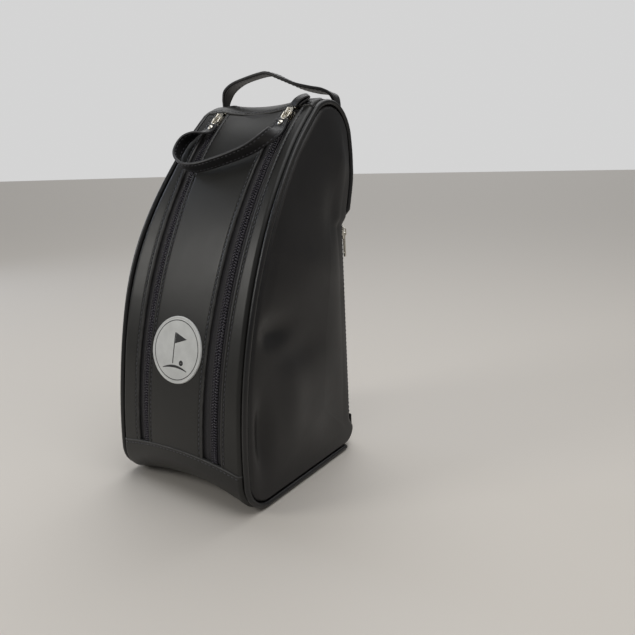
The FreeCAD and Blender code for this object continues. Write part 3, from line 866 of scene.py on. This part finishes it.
def zip_place(sign, start):
    """Places on a front zip: x from its middle, s from a start, h above the tape."""
    return lambda x, s, h: on_gusset(sign * ZIP_X + np.asarray(x), start + np.asarray(s),
                                     np.asarray(h) - TAPE_DEPTH)


for word, sign in (("left", -1), ("right", 1)):
    tape("zip_tape_" + word + "_weave", zip_place(sign, TAPE_START), -14, 12, S_RIDGE - TAPE_START - 1,
         ["zip_tape_" + word])
    rows = [coil("zip_coil_" + word + "_" + label, zip_place(sign, CHAIN_START), CHAIN_LENGTH, half)
            for half, label in ((-1, "a"), (1, "b"))]
    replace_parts(rows[0], "zip_chain_" + word)

stop_x, stop_s = np.linspace(-3.2, 3.2, 17)[None, :], np.linspace(0, 3.6, 11)[:, None]
from_rim = np.minimum(3.2 - np.abs(stop_x), np.minimum(stop_s, 3.6 - stop_s))
for word, sign in (("left", -1), ("right", 1)):
    place = zip_place(sign, front_s(-0.35))
    stop = closed_sheet("zip_stop_" + word, place(stop_x, stop_s, 2.1 - 0.9 * rolled(from_rim, 0.9)),
                        place(stop_x, stop_s, 0.05 + 0 * from_rim), coil_nylon, "shell")
    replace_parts(stop, "zip_bottom_stops")


CORNER_DEPTH = 8.1


def zip_back(x, s, h):
    """Places on the pocket zip, which lies across the bevelled corner, from its top down."""
    x, s, h = np.broadcast_arrays(np.asarray(x, float), s, h)
    turn = math.radians(-45)
    out = x * math.cos(turn) - h * math.sin(turn) - CORNER_DEPTH
    y = x * math.sin(turn) + h * math.cos(turn) + back_y - CORNER_DEPTH
    return on_side(1, out, y, ZIP_TOP - s)


def bent_tape(x, s, h):
    """The pocket zip's tape, whose borders turn inwards under the two panels."""
    x, s, h = np.broadcast_arrays(np.asarray(x, float), s, h)
    over = 0.7071 * np.maximum(np.abs(x) - 7, 0)
    return zip_back(np.clip(x, -7, 7) + np.sign(x) * over, s, h - over)


tape("back_zip_tape_weave", bent_tape, -14, 14, ZIP_TOP - ZIP_LOW, ["back_zip_tape"])
back_length = (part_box("back_zip_chain")[1].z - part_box("back_zip_chain")[0].z) / MM
back_start = ZIP_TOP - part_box("back_zip_chain")[1].z / MM
rows = [coil("back_zip_coil_" + label, lambda x, s, h: zip_back(x, back_start + s, h), back_length, half)
        for half, label in ((-1, "a"), (1, "b"))]
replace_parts(rows[0], "back_zip_chain")
print("zips made, coil pitch", COIL_PITCH, "mm")

# %% [markdown]
# Straps are ribbons: two layers of leather glued and stitched, with the cut edges painted. The builder
# sweeps a rounded rectangle along a line, with a width direction at every point, so a strap can lie flat
# at one end and stand on edge further on. The painted edge is the outer part of the same skin.

# %% Ribbon builder
def smooth_path(points, count):
    """A smooth line through points, with any number of columns, at even steps."""
    points = np.asarray(points, float)
    if len(points) == 2:
        return points[0] + (points[1] - points[0]) * np.linspace(0, 1, count)[:, None]
    padded = np.concatenate([[2 * points[0] - points[1]], points, [2 * points[-1] - points[-2]]])
    t = np.linspace(0, 1, 14, endpoint=False)[:, None]
    parts = []
    for a, b, c, d in zip(padded, padded[1:], padded[2:], padded[3:]):
        parts.append(0.5 * (2 * b + (c - a) * t + (2 * a - 5 * b + 4 * c - d) * t ** 2
                            + (3 * b - a - 3 * c + d) * t ** 3))
    fine = np.concatenate(parts + [points[-1:]])
    run = np.concatenate([[0], np.cumsum(np.linalg.norm(np.diff(fine[:, :3], axis=0), axis=1))])
    steps = np.linspace(0, run[-1], count)
    return np.stack([np.interp(steps, run, fine[:, k]) for k in range(fine.shape[1])], 1)


def ribbon(name, spine, across, width, thickness, material, body, edge_material=None):
    """A strap along a line. across is its width direction; width may change along it."""
    along = unit(np.gradient(spine, axis=0))
    across = unit(across - np.sum(across * along, 1, keepdims=True) * along)
    face = unit(np.cross(across, along))
    width = np.broadcast_to(np.asarray(width, float), (len(spine),))
    half = thickness / 2
    u = np.array([0, 0.15, 0.5, 1.0, 1.6, 2.2, 2.7])
    flat = np.concatenate([u, np.linspace(3.4, 8.6, 7), 12 - u[::-1]]) / 12 - 0.5
    from_edge = (0.5 - np.abs(flat)) * 12
    thick = half * (1 - 0.35 * rolled(from_edge, 0.9)) - 0.16 * groove(from_edge, 2.2, 0.5)
    loop_u = np.concatenate([flat, flat[::-1]])
    loop_t = np.concatenate([thick, -thick[::-1]])
    points = (spine[:, None] + loop_u[None, :, None] * width[:, None, None] * across[:, None]
              + loop_t[None, :, None] * face[:, None])
    rows, columns = len(spine), len(loop_u)
    faces = grid_faces(rows, columns, closed=True)
    faces += [list(range(columns))[::-1], [(rows - 1) * columns + j for j in range(columns)]]
    piece = finish_piece(name, points.reshape(-1, 3), faces, material, body)
    if edge_material:
        piece.data.materials.append(edge_material)
        outer = (loop_u[None, :] * np.ones((rows, 1))).ravel()
        for polygon in piece.data.polygons:
            if len(polygon.vertices) == 4:
                share = np.mean([abs(outer[v]) for v in polygon.vertices])
                polygon.material_index = 1 if share > 0.485 else 0
    lines = []
    for sign in (-1, 1):
        for lift in (-1, 1):
            inset = width / 2 - 2.2 * width / 12
            lines.append((spine + sign * inset[:, None] * across + lift * (half - 0.14) * face, lift * face))
    return piece, lines


# %% [markdown]
# The pull strap joins the two front sliders, so one hand opens both zips. Each end is folded round the
# slider's wire ring and held by a domed rivet, and lies flat on the slope there. In between the strap is
# longer than the gap, so it hangs down as a loop: it turns on its edge and stands off the leather.
# Behind the right slider a short folded tab, sewn over the end of the zip, stands up from the ridge.

# %% Pull strap
S_SLIDER = front_s(44.4)


def strap_place(x, down, h):
    """Points over the slope, measured down from the sliders, that don't settle with the leather."""
    place, out = outline_at(S_SLIDER - np.asarray(down))
    return np.stack([np.asarray(x) + 0 * place[..., 0], place[..., 0] + h * out[..., 0],
                     place[..., 1] + h * out[..., 1]], -1)


# Each point is its x, how far it is down the slope, its height off it, and the strap's twist in degrees.
strap_route = [
    (42.2, 10.8, 2.0, 0.0), (42.3, 16, 1.9, 0.0), (43.2, 22.5, 2.6, 6), (43.6, 30, 6.6, 44),
    (39, 40, 9.4, 78), (27, 50, 9.6, 88), (10, 57, 9.4, 92), (-6, 62, 9.2, 92), (-22, 66, 9.0, 90),
    (-37, 66.5, 9.2, 88),
    (-50, 62, 9.4, 86), (-58.5, 54, 9.4, 84), (-61, 44, 9.0, 84), (-58.5, 35, 9.0, 78), (-53, 27.5, 7.2, 58),
    (-47.5, 21.5, 3.8, 24), (-43.6, 17, 2.0, 4), (-42.4, 14, 1.9, 0.0), (-42, 10.8, 2.0, 0.0),
]
path = smooth_path(strap_route, 260)
spine = strap_place(path[:, 0], path[:, 1], path[:, 2])
up = unit(strap_place(path[:, 0], path[:, 1], path[:, 2] + 1) - spine)
along = unit(np.gradient(spine, axis=0))
flat_across = unit(np.cross(along, up))
turn = np.radians(path[:, 3])[:, None]
across = np.cos(turn) * flat_across + np.sin(turn) * up
strap, lines = ribbon("pull_strap_ribbon", spine, across, 12.5, 2.3, strap_leather, "pull_strap",
                      edge_paint)
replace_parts(strap, "pull_strap")
for number, (line, out) in enumerate(lines):
    stitch_row("stitches_pull_strap_" + str(number), line[6:-6], out[6:-6], "pull_strap", lift=0.0)
print("pull strap is", round(float(np.linalg.norm(np.diff(spine, axis=0), axis=1).sum())), "mm long")
tail = smooth_path([(43.5, -8.5, 1.0), (46.5, -12, 3.4), (50.5, -15.2, 4.8), (54, -17.6, 4.8),
                    (55, -18.2, 3.6),
                    (53, -16.6, 2.6), (49.5, -13.8, 1.7), (47, -11.6, 0.8)], 70)
spine = strap_place(tail[:, 0], tail[:, 1], tail[:, 2])
up = unit(strap_place(tail[:, 0], tail[:, 1], tail[:, 2] + 1) - spine)
sideways = unit(np.cross(unit(spine[30] - spine[0])[None, :] + 0 * spine, up))
ribbon("zip_end_tab", spine, sideways, 12.0, 1.5, strap_leather, "shell", edge_paint)

# %% [markdown]
# The carry handle crosses the top from side seam to side seam. It is a flat strap of the same leather,
# 20 mm wide, narrower where it goes down into the seams. It stands up in a low arch with a kink where it
# was folded in its box. Its feet are held by the seams and stay put when the handle is laid over.

# %% Carry handle
# Each point is its x, y and z, the strap's width there, and its tilt in degrees.
handle_route = [
    (-62.5, 66, 338, 8, 0), (-61.5, 66, 346, 8, 0), (-60, 66, 353, 12, 0), (-55.5, 66, 360.5, 17, 3),
    (-44, 66, 366.5, 20, 6), (-28, 66, 370, 20, 6), (-10, 66, 372.2, 20, 3), (0, 66, 371.2, 20, -3),
    (13, 67, 365.5, 20, -7), (29, 69, 358.6, 20, -9), (43, 72, 354.6, 19.5, -10), (54, 75, 352.2, 17, -10),
    (61.5, 77, 348.6, 14, -6), (64.5, 78, 342, 10, 0), (65, 78, 331, 9, 0),
]
path = smooth_path(handle_route, 220)
spine = path[:, :3].copy()
tilt = np.radians(path[:, 4])[:, None]
across = np.cos(tilt) * np.array([[0, 1.0, 0]]) + np.sin(tilt) * np.array([[0, 0, 1.0]])
handle, lines = ribbon("carry_handle_ribbon", spine, across, path[:, 3], 3.0, handle_leather, None)
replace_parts(handle, "carry_handle", "handle_tab_left", "handle_tab_right")
soft_parts = [handle]
for number, (line, out) in enumerate(lines):
    soft_parts.append(stitch_row("stitches_handle_" + str(number), line[34:-34], out[34:-34], None, lift=0.0))
for part in soft_parts:
    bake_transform(part)
print("handle is", round(float(np.linalg.norm(np.diff(spine, axis=0), axis=1).sum())), "mm long")

# %% [markdown]
# The badge is a round patch of white coated leather fixed to the centre panel, with a printed ring. Its
# print is a made-up one: a pennant on a pole over a mound, and a ball. Each printed shape is a thin skin
# of ink that follows the curve of the front.

# %% Badge
badge_low, badge_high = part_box("badge")
BADGE_X = (badge_low.x + badge_high.x) / 2 / MM
BADGE_R = (badge_high.x - badge_low.x) / 2 / MM
BADGE_S = front_s(13.4)


def badge_place(u, v, h):
    """Points on the badge, from its middle: u across and v up."""
    return on_gusset(BADGE_X + np.asarray(u), BADGE_S + np.asarray(v), h)


def badge_disc():
    radius = np.concatenate([BADGE_R - np.array([0, 0.1, 0.3, 0.6, 1.0, 1.5, 2.0, 2.5, 3.1]),
                             np.linspace(BADGE_R - 4.5, 0.05, 16)])[:, None]
    turn = np.linspace(0, 2 * math.pi, 121)[None, :-1]
    inset = BADGE_R - radius
    h = 1.25 - 0.9 * rolled(inset, 0.7) - 0.22 * groove(inset, 2.0, 0.5)
    h = h + 0.15 * groove(inset, 1.0, 0.6) + 0 * turn
    top = badge_place(radius * np.cos(turn), radius * np.sin(turn), h)
    under = badge_place(radius * np.cos(turn), radius * np.sin(turn), -0.35 + 0 * h)
    rows, columns, _ = top.shape
    count = rows * columns
    faces = grid_faces(rows, columns, closed=True) + grid_faces(rows, columns, count, True, True)
    faces += [[(j + 1) % columns, j, count + j, count + (j + 1) % columns] for j in range(columns)]
    faces += [[(rows - 1) * columns + j for j in range(columns)]]
    faces += [[count + (rows - 1) * columns + j for j in range(columns)][::-1]]
    piece = finish_piece("badge_patch", np.concatenate([top.reshape(-1, 3), under.reshape(-1, 3)]), faces,
                         badge_white, "shell")
    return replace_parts(piece, "badge")


def printed(name, u, v):
    """A thin skin of ink between two edges, given as grids of u and v."""
    top = badge_place(u, v, 1.30)
    under = badge_place(u, v, 1.15)
    return closed_sheet(name, top, under, print_ink, "shell")


badge_disc()
turn = np.linspace(0, 2 * math.pi, 181)[:, None]
printed("badge_print_ring", (BADGE_R - np.array([3.2, 3.9])[None, :]) * np.cos(turn),
        (BADGE_R - np.array([3.2, 3.9])[None, :]) * np.sin(turn))
rise = np.linspace(0, 1, 14)[:, None]
wide = np.linspace(0, 1, 8)[None, :]
printed("badge_print_pole", -3.2 + 1.0 * wide + 0 * rise, -12 + 27 * rise + 0 * wide)
printed("badge_print_pennant", -2.0 + 13.5 * wide + 0 * rise, 15 - 9.5 * rise * (1 - wide) - 4.75 * wide)
sweep = np.linspace(-1, 1, 24)[:, None]
mound_thick = 2.2 * (1 - 0.75 * sweep ** 2)
printed("badge_print_mound", 14.5 * sweep + 0 * wide, -13.2 - 3.6 * sweep ** 2 - wide * mound_thick)
turn = np.linspace(0, 2 * math.pi, 41)[:, None]
from_ball = 0.3 + 2.1 * wide
printed("badge_print_ball", 7.2 + from_ball * np.cos(turn), -10.6 + from_ball * np.sin(turn))
print("badge is", round(2 * BADGE_R), "mm across")

# %% [markdown]
# Inside, a stiff board keeps the base flat and a thin lining covers the leather. Both follow the settled
# base, so that nothing pokes through where the front of the base arches up.

# %% Board and base lining
def base_inside():
    rows = np.linspace(S_BASE_SEAM - 8, S_START, 60)
    s = rows[:, None]
    x = np.linspace(-1, 1, 40)[None, :] * (side_edge(rows, 6.0)[:, None])
    top = on_gusset(x, s, -5.3 - 0.1 * np.cos(x * 0.4))
    under = on_gusset(x, s, -6.1 + 0 * x)
    weave = np.stack(np.broadcast_arrays(x * MM, s * MM, 0 * x), -1)
    piece = closed_sheet("base_lining_cloth", top, under, lining_cloth, "shell", weave=weave)
    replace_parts(piece, "base_lining")
    low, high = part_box("base_board")
    across = np.linspace(low.x, high.x, 40)[None, :] / MM
    deep = np.linspace(low.y, high.y, 40)[:, None] / MM
    corner = 1 - 0.035 * ease((np.abs(across) - 56) / 10)
    flat = np.stack(np.broadcast_arrays(across, deep * corner, high.z / MM + 0 * deep), -1)
    below = flat - np.array([0, 0, (high.z - low.z) / MM - 0.2])
    board = closed_sheet("base_board_plate", settle(flat), settle(below), board_stuff, "shell")
    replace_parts(board, "base_board")


base_inside()
print("base board and lining made")

# %% [markdown]
# The metal parts keep the exact shapes of the frame, because they are small and hard. A fine bevel gives
# every edge the bright line that plating always shows. The linings keep their shapes too, in lining cloth.

# %% Hardware and linings
HARDWARE = ["slider_left", "slider_right", "pull_ring_left", "pull_ring_right", "strap_rivets",
            "zip_top_stops", "back_zip_slider", "back_zip_pull", "back_zip_stops"]


def paint(node, material):
    """Gives a CAD node a material in all its slots."""
    piece = frame["nodes"][node]
    if not piece.material_slots:
        piece.data.materials.append(material)
    for place in piece.material_slots:
        place.link = "OBJECT"
        place.material = material
    return piece


for node in HARDWARE:
    piece = paint(node, nickel)
    bevel = piece.modifiers.new("edge_round", "BEVEL")
    bevel.width = 0.18 * MM
    bevel.segments = 2
    bevel.limit_method = "ANGLE"
    bevel.angle_limit = math.radians(40)
    bevel.harden_normals = True
for node in ("front_lining", "back_lining", "side_lining_left", "side_lining_right"):
    paint(node, lining_cloth)
print("painted", len(HARDWARE), "metal parts")

# %% [markdown]
# The picture is a plain studio one: a pale floor that meets a pale background, a big soft light over the
# top, one at the front left, weak cool and warm ones from the two sides, and a wide even sheet from high
# behind that lights the floor. The satin leather shows soft highlights along its folds. The backdrop is
# paler to the camera than the light it casts. The camera looks down a little, from the front and right.

# %% Camera, floor and lights
def aim(azimuth, elevation, roll):
    """A camera turn: azimuth 0 looks along +Y, growing towards the right; elevation is above the floor."""
    a, e, r = (math.radians(value) for value in (azimuth, elevation, roll))
    forward = Vector((-math.sin(a) * math.cos(e), math.cos(a) * math.cos(e), -math.sin(e)))
    level_right = Vector((math.cos(a), math.sin(a), 0))
    level_up = level_right.cross(forward)
    right = level_right * math.cos(r) + level_up * math.sin(r)
    return Matrix((right, right.cross(forward), -forward)).transposed().to_euler()


camera = bpy.data.objects.new("camera", bpy.data.cameras.new("camera"))
camera.location = Vector((379, -423, 282)) * MM
camera.rotation_euler = aim(34.23, 13.8, -1.157)
camera.data.lens = 34.17
camera.data.sensor_width = 36
bpy.context.scene.collection.objects.link(camera)
bpy.context.scene.camera = camera

floor_mesh = bpy.data.meshes.new("floor")
FLOOR_HALF = 30
FLOOR_DROP = 0.3 * MM
corners = [(x * FLOOR_HALF, y * FLOOR_HALF, -FLOOR_DROP) for x, y in ((-1, -1), (1, -1), (1, 1), (-1, 1))]
floor_mesh.from_pydata(corners, [], [(0, 1, 2, 3)])
floor = bpy.data.objects.new("floor", floor_mesh)
bpy.context.scene.collection.objects.link(floor)
floor_paint, _, floor_shader = new_material("pale_studio_floor")
floor_shader.inputs["Base Color"].default_value = linear("#cfcac3")
floor_shader.inputs["Roughness"].default_value = 0.6
floor_mesh.materials.append(floor_paint)

world = bpy.data.worlds.new("studio")
world.use_nodes = True
backdrop = world.node_tree.nodes["Background"]
backdrop.inputs["Color"].default_value = linear("#ffffff")
seen = add(world.node_tree, "LightPath").outputs["Is Camera Ray"]
share = add(world.node_tree, "MapRange", {"Value": seen, "To Min": 0.20, "To Max": 0.66})
world.node_tree.links.new(share.outputs[0], backdrop.inputs["Strength"])
bpy.context.scene.world = world
bpy.context.scene.view_settings.view_transform = "Standard"


def soft_light(name, at, toward, size, power, colour):
    lamp = bpy.data.objects.new(name, bpy.data.lights.new(name, "AREA"))
    lamp.location = Vector(at)
    lamp.rotation_euler = (Vector(toward) - Vector(at)).to_track_quat("-Z", "Y").to_euler()
    lamp.data.shape = "RECTANGLE"
    lamp.data.size = size[0]
    lamp.data.size_y = size[1]
    lamp.data.energy = power
    lamp.data.color = linear(colour)[:3]
    bpy.context.scene.collection.objects.link(lamp)


soft_light("top_box", (0.5, -0.2, 1.6), (0, 0, 0.15), (1.0, 0.8), 7, "#ffffff")
soft_light("front_box", (-0.9, -1.15, 0.95), (0, 0, 0.2), (0.5, 0.6), 6.0, "#fffdf8")
soft_light("left_box", (-1.5, 0.0, 0.7), (0, 0, 0.2), (0.3, 1.0), 2.5, "#dfeaff")
soft_light("right_box", (1.5, 0.3, 1.2), (0, 0, 0.25), (0.6, 1.0), 1.6, "#fff4ea")
sky_lamp = bpy.data.objects.new("high_sheet", bpy.data.lights.new("high_sheet", "SUN"))
sky_lamp.rotation_euler = (math.radians(-32), math.radians(-18), 0)
sky_lamp.data.energy = 1.3
sky_lamp.data.angle = math.radians(60)
bpy.context.scene.collection.objects.link(sky_lamp)

# %% [markdown]
# The last step updates the view layer, and closes the script.

# %% Finish
bpy.context.view_layer.update()
